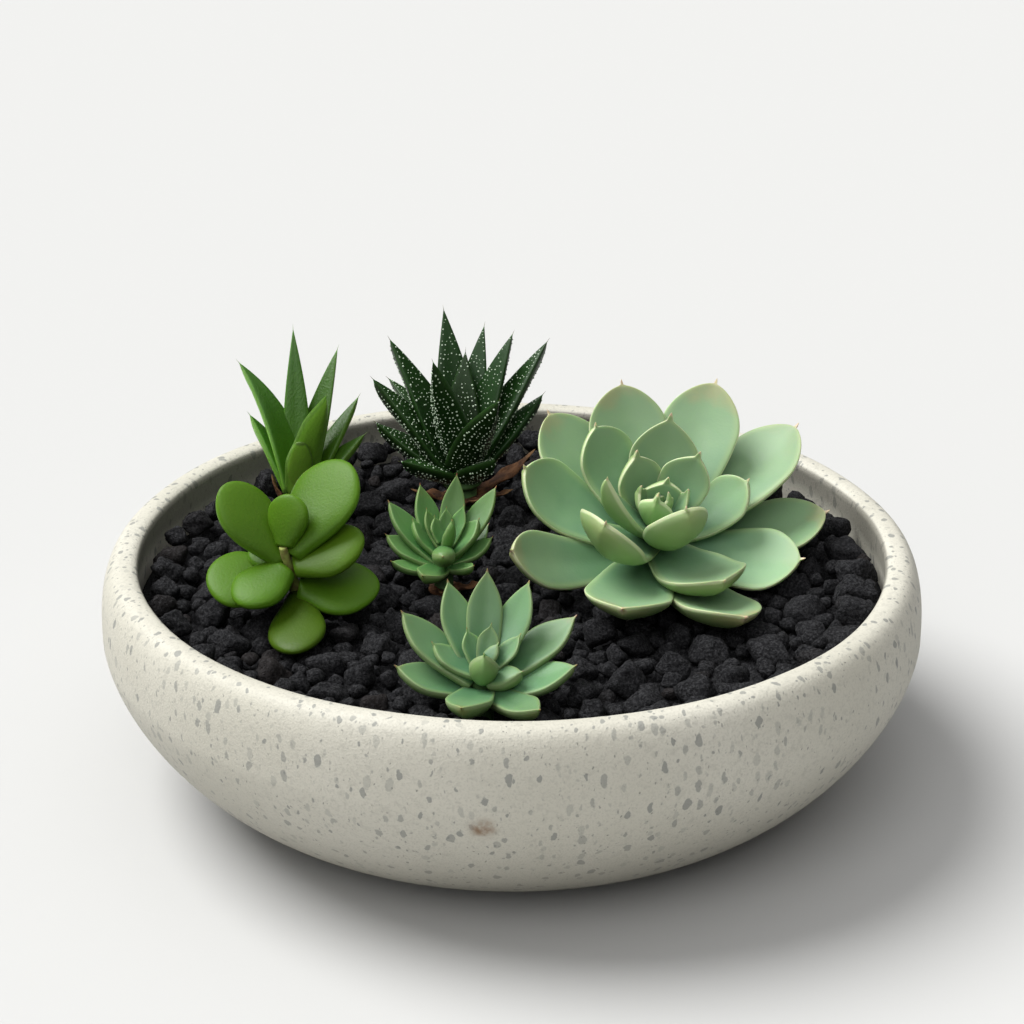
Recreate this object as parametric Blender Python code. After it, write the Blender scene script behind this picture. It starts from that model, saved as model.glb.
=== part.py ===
"""A low cast-stone bowl with potting soil, lava gravel and six small succulents.

Metres, +Z up. The origin is at the centre of the bowl's foot, and -Y is the front.
"""
import math
from collections import namedtuple

import bmesh
import bpy
import numpy as np
from mathutils import Vector
from mathutils.bvhtree import BVHTree

# Bowl
BOWL_RADIUS = 0.150
BELLY_Z = 0.060
FOOT_RADIUS = 0.093
LOWER_CURVE = 1.55
LIP_OUTER_RADIUS = 0.147
LIP_INNER_RADIUS = 0.1358
LIP_SIDE_Z = 0.0815
LIP_ROUND = 0.0054
SHOULDER_INSET = 0.0008
SHOULDER_RISE = 0.012
INNER_RADIUS = 0.138
FLOOR_RADIUS = 0.081
FLOOR_Z = 0.012
SIDES = 44
OUTER_STEPS = 6
INNER_STEPS = 5
LIP_STEPS = 5

# Fill
CLEARANCE = 0.0003
SOIL_TOP = 0.058
GRAVEL_BED_TOP = 0.0693
STEM_BOTTOM = 0.040
STEM_SIDES = 10
STEM_INTO_CORE = 0.003
CUTTER_LENGTH = 0.020
CUT_BELOW = 0.002
STONE_SPACING = 0.0195
STONE_RADIUS = 0.0113
STONE_SMALLEST = 0.0055
STONE_FLATNESS = 0.74
STONE_CENTRE_Z = 0.0698
STONE_GAP = 0.0005
STONE_SINK = 0.003
STONE_JITTER = 0.2
STONE_SIZES = (0.86, 1.08)
STONE_KNOBS = (0.84, 1.0)
STONE_SEED = 7

# Leaves in general: each one is rooted a little above the one before it and this part of
# the core's radius out from its middle, its last ring of points lies short of its tip, and
# a narrow one is never thicker than this part of its width.
ROOT_STEP = 0.00017
ROOT_REACH = 0.6
LAST_RING = 0.94
THICKEST = 0.45
WELD = 0.0000005

# The crown that a plant's leaves spring from, and the collar that its dry leaves spring from
CORE_DEPTH = 0.0025
CORE_SIDES = 8
COLLAR_HEIGHT = 0.0018
COLLAR_BOTTOM_WALL = 0.0020
COLLAR_TOP_WALL = 0.0016
DRY_ROOT_HEIGHT = 0.0011

# One leaf: directions in degrees in its plant's own leaning frame, sizes in metres.
# Azimuth 0 is the right, 90 the back. Pitch is that of the chord from root to tip.
# Rise is how far up the stem the leaf is rooted. A leaf unlike the others has its own form.
Leaf = namedtuple("Leaf", "azimuth pitch length width rise form", defaults=(None,))

# How one plant's leaves are formed. Neck is the root's width and widest the place of
# the full width, along the leaf; tip 0.5 is a round end and 1 a pointed one. Cup lifts
# the margins by that part of the half-width, upper is the part of the thickness above
# the margins, and curl is the angle in degrees that the leaf bends upwards.
Form = namedtuple("Form", "neck widest tip thickness upper cup curl points stations")

Plant = namedtuple("Plant", "name place lean stem core form colour roughness leaves")
Dry = namedtuple("Dry", "name plant leaves")

BROAD = Form(0.42, 0.66, 0.62, 0.0052, 0.30, 0.28, 30, 6, 5)
POINTED = Form(0.60, 0.52, 0.85, 0.0034, 0.30, 0.22, 20, 4, 5)
THORNY = Form(0.82, 0.30, 0.98, 0.0050, 0.25, 0.14, 14, 4, 5)
BLUNT = Form(0.80, 0.50, 0.45, 0.0045, 0.40, 0.10, 6, 4, 5)
PADDLE = Form(0.32, 0.58, 0.50, 0.0046, 0.50, 0.06, 12, 6, 5)
WITHERED = Form(0.80, 0.35, 0.95, 0.0016, 0.50, 0.20, 40, 4, 4)

LARGE_ECHEVERIA = Plant(
    "large_echeveria", (0.050, 0.007, 0.076), (11, -27), 0.008, (0.010, 0.022), BROAD,
    "8FB39B", 0.50,
    (
        Leaf(208, 24, 0.070, 0.031, 0.002), Leaf(254, 24, 0.070, 0.031, 0.002),
        Leaf(295, 24, 0.070, 0.030, 0.002), Leaf(6, 24, 0.070, 0.031, 0.002),
        Leaf(148, 33, 0.067, 0.030, 0.005), Leaf(107, 33, 0.067, 0.030, 0.005),
        Leaf(67, 33, 0.067, 0.030, 0.005), Leaf(37, 33, 0.067, 0.030, 0.005),
        Leaf(327, 33, 0.067, 0.030, 0.004), Leaf(177, 33, 0.067, 0.030, 0.005),
        Leaf(133, 35, 0.049, 0.027, 0.009), Leaf(86, 35, 0.049, 0.028, 0.009),
        Leaf(24, 35, 0.049, 0.026, 0.009), Leaf(296, 34, 0.052, 0.030, 0.009),
        Leaf(222, 35, 0.050, 0.028, 0.009),
        Leaf(135, 57, 0.038, 0.021, 0.013), Leaf(54, 57, 0.038, 0.021, 0.013),
        Leaf(288, 55, 0.037, 0.025, 0.013), Leaf(182, 53, 0.041, 0.019, 0.013),
        Leaf(85, 69, 0.024, 0.014, 0.016), Leaf(233, 69, 0.024, 0.014, 0.016),
        Leaf(176, 69, 0.024, 0.013, 0.016), Leaf(14, 69, 0.024, 0.013, 0.016),
        Leaf(154, 78, 0.015, 0.008, 0.020), Leaf(334, 78, 0.015, 0.008, 0.020),
    ),
)

FRONT_ROSETTE = Plant(
    "front_rosette", (-0.010, -0.099, 0.076), (3, -13), 0.004, (0.0045, 0.012), POINTED,
    "9CC29B", 0.50,
    (
        Leaf(173, 10, 0.031, 0.014, 0.001), Leaf(7, 14, 0.034, 0.014, 0.001),
        Leaf(254, 27, 0.032, 0.014, 0.001), Leaf(308, 22, 0.034, 0.013, 0.001),
        Leaf(91, 47, 0.039, 0.013, 0.003), Leaf(147, 23, 0.038, 0.015, 0.003),
        Leaf(28, 24, 0.039, 0.015, 0.003), Leaf(118, 42, 0.037, 0.013, 0.003),
        Leaf(58, 43, 0.037, 0.014, 0.003),
        Leaf(163, 25, 0.021, 0.010, 0.006), Leaf(121, 46, 0.018, 0.009, 0.006),
        Leaf(82, 51, 0.019, 0.009, 0.007), Leaf(33, 39, 0.020, 0.010, 0.006),
        Leaf(341, 37, 0.018, 0.011, 0.004),
        Leaf(266, 68, 0.015, 0.011, 0.008), Leaf(54, 45, 0.011, 0.006, 0.010),
    ),
)

CENTRE_ROSETTE = Plant(
    "centre_rosette", (-0.025, -0.005, 0.077), (4, -8), 0.0035, (0.004, 0.010), POINTED,
    "7FB06F", 0.50,
    (
        Leaf(82, 56, 0.035, 0.011, 0.002), Leaf(123, 48, 0.032, 0.011, 0.002),
        Leaf(150, 34, 0.032, 0.011, 0.002), Leaf(164, 18, 0.025, 0.011, 0.002),
        Leaf(203, 16, 0.023, 0.010, 0.001), Leaf(42, 45, 0.034, 0.011, 0.002),
        Leaf(46, 22, 0.025, 0.010, 0.001), Leaf(20, 25, 0.021, 0.010, 0.002),
        Leaf(309, 28, 0.020, 0.010, 0.001), Leaf(243, 15, 0.019, 0.010, 0.001),
        Leaf(20, 48, 0.021, 0.010, 0.004), Leaf(155, 40, 0.020, 0.009, 0.004),
        Leaf(129, 52, 0.019, 0.008, 0.006), Leaf(100, 59, 0.020, 0.008, 0.006),
        Leaf(60, 55, 0.021, 0.008, 0.006), Leaf(264, 47, 0.016, 0.010, 0.004),
        Leaf(300, 78, 0.015, 0.006, 0.007),
    ),
)

DOTTED_HAWORTHIA = Plant(
    "dotted_haworthia", (-0.020, 0.0806, 0.076), (0, -5), 0.006, (0.0095, 0.010), THORNY,
    "2F5A33", 0.45,
    (
        Leaf(103, 62, 0.068, 0.016, 0.003), Leaf(143, 55, 0.063, 0.017, 0.002),
        Leaf(185, 53, 0.055, 0.018, 0.001), Leaf(137, 35, 0.052, 0.014, 0.002),
        Leaf(215, 76, 0.055, 0.018, 0.003), Leaf(86, 68, 0.048, 0.016, 0.005),
        Leaf(74, 58, 0.062, 0.014, 0.003), Leaf(46, 61, 0.061, 0.015, 0.002),
        Leaf(28, 53, 0.065, 0.016, 0.002), Leaf(18, 44, 0.047, 0.015, 0.001),
        Leaf(305, 60, 0.048, 0.020, 0.002), Leaf(182, 39, 0.043, 0.015, 0.001),
        Leaf(211, 28, 0.031, 0.015, 0.0005), Leaf(308, 32, 0.028, 0.015, 0.0005),
    ),
)

SPIKY_ALOE = Plant(
    "spiky_aloe", (-0.083, 0.0586, 0.076), (0, 0), 0.005, (0.0070, 0.010), THORNY,
    "4E8A35", 0.45,
    (
        Leaf(96, 71, 0.068, 0.011, 0.003), Leaf(149, 62, 0.060, 0.014, 0.002),
        Leaf(58, 62, 0.061, 0.012, 0.003), Leaf(157, 58, 0.040, 0.012, 0.001),
        Leaf(313, 69, 0.053, 0.016, 0.002), Leaf(40, 51, 0.047, 0.012, 0.002),
        Leaf(24, 41, 0.036, 0.012, 0.001), Leaf(280, 64, 0.034, 0.010, 0.0005, BLUNT),
    ),
)

JADE_PLANT = Plant(
    "jade_plant", (-0.076, -0.030, 0.0760), (-10, -15), 0.004, (0.0036, 0.026), PADDLE,
    "5E9A35", 0.30,
    (
        Leaf(143, 48, 0.036, 0.022, 0.017), Leaf(35, 32, 0.045, 0.030, 0.020),
        Leaf(80, 66, 0.022, 0.016, 0.023), Leaf(10, 9, 0.028, 0.020, 0.017),
        Leaf(353, -8, 0.031, 0.025, 0.009), Leaf(188, 18, 0.031, 0.026, 0.015),
        Leaf(216, 3, 0.022, 0.024, 0.012), Leaf(273, 3, 0.037, 0.020, 0.004),
        Leaf(134, 7, 0.020, 0.013, 0.014),
    ),
)

PLANTS = (LARGE_ECHEVERIA, FRONT_ROSETTE, CENTRE_ROSETTE, DOTTED_HAWORTHIA, SPIKY_ALOE, JADE_PLANT)

DRY_COLOUR = "7A5638"
DRY_LEAVES = (
    Dry("haworthia_dry_leaves", DOTTED_HAWORTHIA, (
        Leaf(22, 26, 0.036, 0.008, 0.0), Leaf(195, 14, 0.022, 0.009, 0.0),
        Leaf(245, 14, 0.017, 0.010, 0.0), Leaf(290, 14, 0.018, 0.010, 0.0),
        Leaf(345, 12, 0.022, 0.008, 0.0),
    )),
    Dry("aloe_dry_leaf", SPIKY_ALOE, (Leaf(165, 28, 0.022, 0.006, 0.0),)),
    Dry("centre_rosette_dry_leaf", CENTRE_ROSETTE, (
        Leaf(335, 20, 0.017, 0.006, 0.0), Leaf(265, 12, 0.009, 0.007, 0.0),
    )),
)


def clear_scene():
    """Removes every object that the scene holds."""
    for obj in list(bpy.data.objects):
        bpy.data.objects.remove(obj, do_unlink=True)


def linear(hex_colour):
    """The linear RGBA value of an sRGB hex colour."""
    channels = [int(hex_colour[i:i + 2], 16) / 255 for i in (0, 2, 4)]
    rgb = [c / 12.92 if c <= 0.04045 else ((c + 0.055) / 1.055) ** 2.4 for c in channels]
    return (*rgb, 1.0)


def material(name, hex_colour, roughness):
    """A Principled material of one colour."""
    mat = bpy.data.materials.new(name)
    mat.use_nodes = True
    shader = mat.node_tree.nodes["Principled BSDF"]
    shader.inputs["Base Color"].default_value = linear(hex_colour)
    shader.inputs["Roughness"].default_value = roughness
    shader.inputs["Metallic"].default_value = 0.0
    return mat


def add_object(name, bm, place=(0, 0, 0)):
    """A new scene object that takes the bmesh's geometry."""
    bmesh.ops.recalc_face_normals(bm, faces=bm.faces)
    mesh = bpy.data.meshes.new(name)
    bm.to_mesh(mesh)
    bm.free()
    obj = bpy.data.objects.new(name, mesh)
    obj.location = place
    bpy.context.scene.collection.objects.link(obj)
    return obj


def turned(profile, sides=SIDES):
    """A closed solid of revolution; the profile runs from its lowest point to its highest.

    Both ends of the profile are closed with one flat face.
    """
    bm = bmesh.new()
    rings = []
    for radius, z in profile:
        angles = [2 * math.pi * i / sides for i in range(sides)]
        rings.append([bm.verts.new((radius * math.cos(a), radius * math.sin(a), z)) for a in angles])
    for lower, upper in zip(rings, rings[1:]):
        for i in range(sides):
            j = (i + 1) % sides
            bm.faces.new((lower[i], lower[j], upper[j], upper[i]))
    bm.faces.new(rings[0])
    bm.faces.new(rings[-1])
    return bm


def bowl_curve(foot_radius, wide_radius, foot_z, steps):
    """Points of the swelling lower wall, a superellipse quarter from foot to belly."""
    power = 2 / LOWER_CURVE
    points = []
    for i in range(steps + 1):
        angle = 0.5 * math.pi * i / steps
        radius = foot_radius + (wide_radius - foot_radius) * math.sin(angle) ** power
        z = BELLY_Z - (BELLY_Z - foot_z) * math.cos(angle) ** power
        points.append((radius, z))
    return points


def inner_wall(gap):
    """The inside of the bowl from its floor to its belly, kept that gap away from it."""
    return bowl_curve(FLOOR_RADIUS - gap, INNER_RADIUS - gap, FLOOR_Z + gap, INNER_STEPS)


def make_bowl():
    """The bowl: one turned wall of even thickness with a rounded lip and a plain foot."""
    outer = bowl_curve(FOOT_RADIUS, BOWL_RADIUS, 0.0, OUTER_STEPS)
    shoulder = [(BOWL_RADIUS - SHOULDER_INSET, BELLY_Z + SHOULDER_RISE)]
    lip_centre = (LIP_OUTER_RADIUS + LIP_INNER_RADIUS) / 2
    lip_width = (LIP_OUTER_RADIUS - LIP_INNER_RADIUS) / 2
    lip = []
    for i in range(LIP_STEPS + 1):
        angle = math.pi * i / LIP_STEPS
        lip.append((lip_centre + lip_width * math.cos(angle), LIP_SIDE_Z + LIP_ROUND * math.sin(angle)))
    inside = list(reversed(inner_wall(0.0)))
    bowl = add_object("bowl", turned(outer + shoulder + lip + inside))
    bowl.data.materials.append(material("cast_stone", "DEDCD3", 0.55))
    shade_round(bowl, 50)


def shade_round(obj, angle):
    """Smooth shading, with the edges over that angle kept sharp."""
    obj.data.shade_smooth()
    obj.data.set_sharp_from_angle(angle=math.radians(angle))


def wall_radius(z):
    """The inner wall's radius at a height up to the lip."""
    points = inner_wall(0.0) + [(LIP_INNER_RADIUS, LIP_SIDE_Z)]
    return float(np.interp(z, [p[1] for p in points], [p[0] for p in points]))


def fill_profile(low, high):
    """The edge of a layer of filling between two heights, clear of the bowl's inner wall."""
    between = [p for p in inner_wall(CLEARANCE) if low + 0.001 < p[1] < high - 0.001]
    gap = 1.5 * CLEARANCE
    return [(wall_radius(low) - gap, low)] + between + [(wall_radius(high) - gap, high)]


def stem_cutter(plant, bottom, radius):
    """A plain upright cylinder that makes room for a plant's stem."""
    x, y, z = plant.place
    sides = [(radius, bottom), (radius, z + CUTTER_LENGTH)]
    cutter = add_object("cutter", turned(sides, STEM_SIDES), (x, y, 0))
    cutter.hide_render = True
    cutter.display_type = "WIRE"
    return cutter


def apply_boolean(obj, operation, tool_objects):
    """Joins the tools to an object, or cuts them out of it, and removes them."""
    group = bpy.data.collections.new("tools")
    bpy.context.scene.collection.children.link(group)
    for tool in tool_objects:
        bpy.context.scene.collection.objects.unlink(tool)
        group.objects.link(tool)
    modifier = obj.modifiers.new("fuse", "BOOLEAN")
    modifier.operation = operation
    modifier.operand_type = "COLLECTION"
    modifier.collection = group
    modifier.solver = "EXACT"
    graph = bpy.context.evaluated_depsgraph_get()
    fused = bpy.data.meshes.new_from_object(obj.evaluated_get(graph))
    obj.modifiers.clear()
    obj.data = fused
    for tool in tool_objects:
        bpy.data.objects.remove(tool, do_unlink=True)
    bpy.data.collections.remove(group)


def keep_largest_body(obj):
    """Drops the loose scraps and the sealed hollows that a fusing leaves behind."""
    bm = bmesh.new()
    bm.from_mesh(obj.data)
    bmesh.ops.remove_doubles(bm, verts=bm.verts, dist=WELD)
    bmesh.ops.dissolve_degenerate(bm, edges=bm.edges, dist=WELD)
    bmesh.ops.triangulate(bm, faces=bm.faces)
    seen = set()
    bodies = []
    for start in bm.verts:
        if start in seen:
            continue
        body = [start]
        seen.add(start)
        for vert in body:
            for edge in vert.link_edges:
                other = edge.other_vert(vert)
                if other not in seen:
                    seen.add(other)
                    body.append(other)
        bodies.append(body)
    bodies.sort(key=len, reverse=True)
    for scrap in bodies[1:]:
        bmesh.ops.delete(bm, geom=scrap, context="VERTS")
    bm.to_mesh(obj.data)
    bm.free()


def leaning_frame(lean):
    """A plant's own right, back and up directions, for its lean in degrees along X and Y."""
    up = Vector((math.sin(math.radians(lean[0])), math.sin(math.radians(lean[1])), 1)).normalized()
    right = (Vector((1, 0, 0)) - up * up.x).normalized()
    return right, up.cross(right), up


def half_width(form, along):
    """A leaf's half-width at a place along it, as a part of its full half-width."""
    if along < form.widest:
        swell = math.sin(0.5 * math.pi * along / form.widest) ** 1.5
        return form.neck + (1 - form.neck) * swell
    taper = (along - form.widest) / (1 - form.widest)
    return math.cos(0.5 * math.pi * taper) ** form.tip


def midrib(plant, form, leaf, rise, along):
    """A point of a leaf's arched midrib, with the directions across the leaf and out of its upper face."""
    right, back, up = leaning_frame(plant.lean)
    azimuth = math.radians(leaf.azimuth)
    outward = right * math.cos(azimuth) + back * math.sin(azimuth)
    across = back * math.cos(azimuth) - right * math.sin(azimuth)
    bend = math.radians(form.curl)
    first_slope = math.radians(leaf.pitch) - bend / 2
    chord = first_slope + bend * along / 2
    slope = first_slope + bend * along
    reach = leaf.length * along * np.sinc(bend * along / (2 * math.pi))
    root = Vector(plant.place) + up * (leaf.rise + rise)
    point = root + (outward * math.cos(chord) + up * math.sin(chord)) * reach
    return point, across, up * math.cos(slope) - outward * math.sin(slope)


def leaf_ring(plant, form, leaf, rise, along):
    """The points round a leaf at one place along it: a lens whose margins are raised."""
    centre, across, face = midrib(plant, form, leaf, rise, along)
    width = leaf.width / 2 * half_width(form, along)
    thickness = min(form.thickness, THICKEST * leaf.width) * math.sqrt(1 - along ** 4)
    ring = []
    for k in range(form.points):
        angle = 2 * math.pi * k / form.points
        share = form.upper if math.sin(angle) > 0 else 1 - form.upper
        height = form.cup * width * math.cos(angle) ** 2 + thickness * share * math.sin(angle)
        ring.append(centre + across * width * math.cos(angle) + face * height)
    return ring


def leaf_solid(plant, form, leaf, rise):
    """One leaf as a closed solid, with its faces split alike above and below."""
    bm = bmesh.new()
    rings = []
    first_ring = ROOT_REACH * plant.core[0] / leaf.length
    for i in range(form.stations):
        along = first_ring + (LAST_RING - first_ring) * (i / (form.stations - 1)) ** 0.85
        rings.append([bm.verts.new(point) for point in leaf_ring(plant, form, leaf, rise, along)])
    tip = bm.verts.new(midrib(plant, form, leaf, rise, 1.0)[0])
    for inner, outer in zip(rings, rings[1:]):
        for k in range(form.points):
            j = (k + 1) % form.points
            if 2 * k < form.points:
                bm.faces.new((inner[k], inner[j], outer[k]))
                bm.faces.new((inner[j], outer[j], outer[k]))
            else:
                bm.faces.new((inner[k], inner[j], outer[j]))
                bm.faces.new((inner[k], outer[j], outer[k]))
    for k in range(form.points):
        bm.faces.new((rings[-1][k], rings[-1][(k + 1) % form.points], tip))
    bm.faces.new(rings[0])
    return add_object("leaf", bm)


def all_leaves(plant, default_form, leaves):
    """The solids of a plant's leaves, each rooted a little above the one before."""
    solids = []
    for number, leaf in enumerate(leaves):
        solids.append(leaf_solid(plant, leaf.form or default_form, leaf, number * ROOT_STEP))
    return solids


def finish_plant(obj, colour, roughness):
    """Gives a fused plant its one material and its shading."""
    keep_largest_body(obj)
    obj.data.materials.clear()
    obj.data.materials.append(material(obj.name, colour, roughness))
    shade_round(obj, 35)


def make_plant(plant):
    """A plant as one solid: an upright stem, a core that the leaves are rooted in, and its leaves."""
    x, y, z = plant.place
    stem = [(plant.stem, STEM_BOTTOM), (plant.stem, z + STEM_INTO_CORE)]
    obj = add_object(plant.name, turned(stem, STEM_SIDES), (x, y, 0))
    core_radius, core_height = plant.core
    crown = [(core_radius / 2, -CORE_DEPTH), (core_radius, 0.0), (core_radius * ROOT_REACH, core_height)]
    core = add_object("core", turned(crown, CORE_SIDES), plant.place)
    core.rotation_mode = "QUATERNION"
    core.rotation_quaternion = Vector((0, 0, 1)).rotation_difference(leaning_frame(plant.lean)[2])
    apply_boolean(obj, "UNION", [core] + all_leaves(plant, plant.form, plant.leaves))
    finish_plant(obj, plant.colour, plant.roughness)
    return obj


def make_dry_leaves(dry):
    """Withered leaves that clasp a plant's stem at the gravel, as one collar round it."""
    x, y, _ = dry.plant.place
    foot = dry.plant._replace(place=(x, y, GRAVEL_BED_TOP + DRY_ROOT_HEIGHT), lean=(0, 0))
    hole = dry.plant.stem + CLEARANCE
    bottom = (hole + COLLAR_BOTTOM_WALL, GRAVEL_BED_TOP + CLEARANCE)
    top = (hole + COLLAR_TOP_WALL, GRAVEL_BED_TOP + COLLAR_HEIGHT)
    obj = add_object(dry.name, turned([bottom, top], STEM_SIDES), (x, y, 0))
    apply_boolean(obj, "UNION", all_leaves(foot, WITHERED, dry.leaves))
    apply_boolean(obj, "DIFFERENCE", [stem_cutter(dry.plant, STEM_BOTTOM, hole)])
    finish_plant(obj, DRY_COLOUR, 0.85)
    return obj


def make_soil():
    """The potting soil under the gravel, with a plain hole for each stem."""
    soil = add_object("potting_soil", turned(fill_profile(FLOOR_Z + CLEARANCE, SOIL_TOP)))
    cutters = [stem_cutter(p, STEM_BOTTOM - CLEARANCE, p.stem + CLEARANCE) for p in PLANTS]
    apply_boolean(soil, "DIFFERENCE", cutters)
    soil.data.materials.clear()
    soil.data.materials.append(material("potting_soil", "3A2C22", 0.95))


def surface_of(objects):
    """A search tree over the faces of several unmoved objects."""
    bpy.context.view_layer.update()
    points = []
    polygons = []
    for obj in objects:
        start = len(points)
        points += [obj.matrix_world @ v.co for v in obj.data.vertices]
        polygons += [[start + i for i in p.vertices] for p in obj.data.polygons]
    return BVHTree.FromPolygons(points, polygons)


def stone_places():
    """Stone centres on a jittered triangular layout that fills the gravel's circle."""
    rng = np.random.default_rng(STONE_SEED)
    reach = LIP_INNER_RADIUS
    row_step = STONE_SPACING * math.sqrt(3) / 2
    rows = int(reach / row_step) + 1
    places = []
    for row in range(-rows, rows + 1):
        for column in range(-rows - 1, rows + 2):
            jitter = rng.uniform(-STONE_JITTER, STONE_JITTER, 3) * STONE_SPACING
            x = (column + 0.5 * (row % 2)) * STONE_SPACING + jitter[0]
            y = row * row_step + jitter[1]
            size = STONE_RADIUS * rng.uniform(*STONE_SIZES)
            edge = reach - size - 2 * CLEARANCE
            if math.hypot(x, y) > edge + 0.4 * STONE_SPACING:
                continue
            pull = min(1.0, edge / math.hypot(x, y))
            places.append((Vector((x * pull, y * pull, STONE_CENTRE_Z + 0.25 * jitter[2])), size))
    return places


def stone_solid(rng, centre, size):
    """One lava stone: a squashed, knobbly, turned icosahedron inside a sphere of that size."""
    bm = bmesh.new()
    bmesh.ops.create_icosphere(bm, subdivisions=1, radius=size)
    turn = rng.uniform(0, 2 * math.pi, 2)
    for vert in bm.verts:
        vert.co *= rng.uniform(*STONE_KNOBS)
        x, y, z = vert.co
        x, z = x * math.cos(turn[0]) - z * math.sin(turn[0]), x * math.sin(turn[0]) + z * math.cos(turn[0])
        x, y = x * math.cos(turn[1]) - y * math.sin(turn[1]), x * math.sin(turn[1]) + y * math.cos(turn[1])
        vert.co = (x, y, z * STONE_FLATNESS)
    return add_object("stone", bm, centre)


def make_gravel(plant_objects):
    """The lava gravel: a bed with a hole for each stem, covered by stones that keep off the plants."""
    gravel = add_object("lava_gravel", turned(fill_profile(SOIL_TOP + CLEARANCE, GRAVEL_BED_TOP)))
    cutters = [stem_cutter(p, SOIL_TOP - CUT_BELOW, p.stem + CLEARANCE) for p in PLANTS]
    apply_boolean(gravel, "DIFFERENCE", cutters)
    tree = surface_of(plant_objects)
    rng = np.random.default_rng(STONE_SEED + 1)
    stones = []
    for centre, size in stone_places():
        room = tree.find_nearest(centre)[3] - STONE_GAP
        if room < size:
            centre = centre - Vector((0, 0, min(STONE_SINK, size - room)))
            room = tree.find_nearest(centre)[3] - STONE_GAP
        size = min(size, room)
        if size > STONE_SMALLEST:
            stones.append(stone_solid(rng, centre, size))
    apply_boolean(gravel, "UNION", stones)
    keep_largest_body(gravel)
    gravel.data.materials.clear()
    gravel.data.materials.append(material("lava_stone", "26262A", 0.92))


clear_scene()
make_bowl()
make_soil()
plant_objects = [make_plant(plant) for plant in PLANTS]
plant_objects += [make_dry_leaves(dry) for dry in DRY_LEAVES]
make_gravel(plant_objects)
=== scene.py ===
"""Looks for the dish garden: a cast-stone bowl of lava gravel with six small succulents.

Metres, +Z up, origin at the centre of the bowl's foot, -Y to the front. Every leaf, stone and
wall is a numpy surface worked out from a few named sizes. They started as those of the part's
source, and the leaves and the bowl's lip were then matched more closely to the photograph.
"""
import math
from collections import namedtuple

import bpy
import numpy as np
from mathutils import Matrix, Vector
from mathutils.bvhtree import BVHTree


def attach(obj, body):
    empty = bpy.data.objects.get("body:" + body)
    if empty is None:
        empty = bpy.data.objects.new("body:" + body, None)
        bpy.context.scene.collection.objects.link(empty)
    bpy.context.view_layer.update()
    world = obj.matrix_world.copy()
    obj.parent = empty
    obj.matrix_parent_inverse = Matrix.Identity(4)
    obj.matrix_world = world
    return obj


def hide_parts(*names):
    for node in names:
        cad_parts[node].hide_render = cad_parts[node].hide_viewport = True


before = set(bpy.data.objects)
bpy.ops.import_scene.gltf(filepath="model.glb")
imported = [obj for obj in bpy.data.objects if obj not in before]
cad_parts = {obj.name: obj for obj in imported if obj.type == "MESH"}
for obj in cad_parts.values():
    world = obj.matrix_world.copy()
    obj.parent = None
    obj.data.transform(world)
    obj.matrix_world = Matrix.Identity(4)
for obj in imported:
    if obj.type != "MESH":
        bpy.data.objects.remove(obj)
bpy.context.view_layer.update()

UPRIGHT = np.array([0.0, 0.0, 1.0])

# Bowl
BOWL_RADIUS = 0.150
BELLY_Z = 0.060
FOOT_RADIUS = 0.093
LOWER_CURVE = 1.55
RIM_RADIUS = 0.1403
RIM_TOP = 0.0867
SHOULDER_CURVE = 2.6
LIP_CURVE = 2.4
LIP_INNER_RADIUS = 0.1358
LIP_SIDE_Z = 0.0832
INNER_RADIUS = 0.138
FLOOR_RADIUS = 0.081
FLOOR_Z = 0.012
SIDES = 288
WALL_STEPS = 40
LIP_STEPS = 24
# The rim's waves: how high, how many go round, and where they start
RIM_WAVES = ((0.0002, 3, 0.6), (0.00015, 7, 2.0), (0.0001, 13, 0.0))
# How far the belly draws in, as a share of its radius, in five waves
BELLY_WAVE = 0.0012

# Gravel
GRAVEL_BOTTOM = 0.0583
GRIT_TOP = 0.0655
GRIT_BOTTOM_RADIUS = 0.1365
GRIT_TOP_RADIUS = 0.1370
GRIT_LUMP = 0.0004
GRIT_WAVES = 10
GRIT_RADIANS_PER_METRE = 900
STONE_GAP = 0.0004
STONE_INSET = 0.80
ROUGH_STEM_BOTTOM = 0.050
FLATNESS = 0.80
WALL_REACH = 0.1352
WALL_BANK = 0.0045
BANK_START = 0.095
BANK_WIDTH = 0.03
THROWS = 220
TIGHTEST = 6
LEAST_GROWN = 0.6
SINK_STEPS = (0.0, 0.002, 0.004)
ROUNDING = 7.0
# The waves that roughen a stone: their radians over its radius, and how deep in parts of that
STONE_WAVES = ((2.4, 0.060), (5.0, 0.042), (9.0, 0.026), (16.0, 0.016))

# Leaves and stems
ROOT_STEP = 0.00017
ROOT_REACH = 0.6
LAST_RING = 0.997
KEEL_BREADTH = 0.25
CHANNEL_BREADTH = 0.35
WAVES_ALONG = 2.3
LIFT_START = 0.55
STEM_BOTTOM = 0.040
STEM_LAP = 0.003
STEM_SIDES = 32
CORE_DEPTH = 0.0025
CORE_SHRINK = 0.65
LEAF_SCAR = 0.0012
GRAVEL_BED_TOP = 0.0693
DRY_ROOT_HEIGHT = 0.0011
COLLAR_GAP = 0.0003
COLLAR_BOTTOM = 0.0696
COLLAR_TOP = 0.0711
COLLAR_FOOT = 0.0020
COLLAR_EDGE = 0.0016
WART_ROW_STEP = 0.0017
WART_STEP = 0.0014

# View
VIEW_DEGREES = 23.5
VIEW_DISTANCE = 0.9
VIEW_CENTRE_Z = 0.0984
LENS = 86.8

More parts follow.
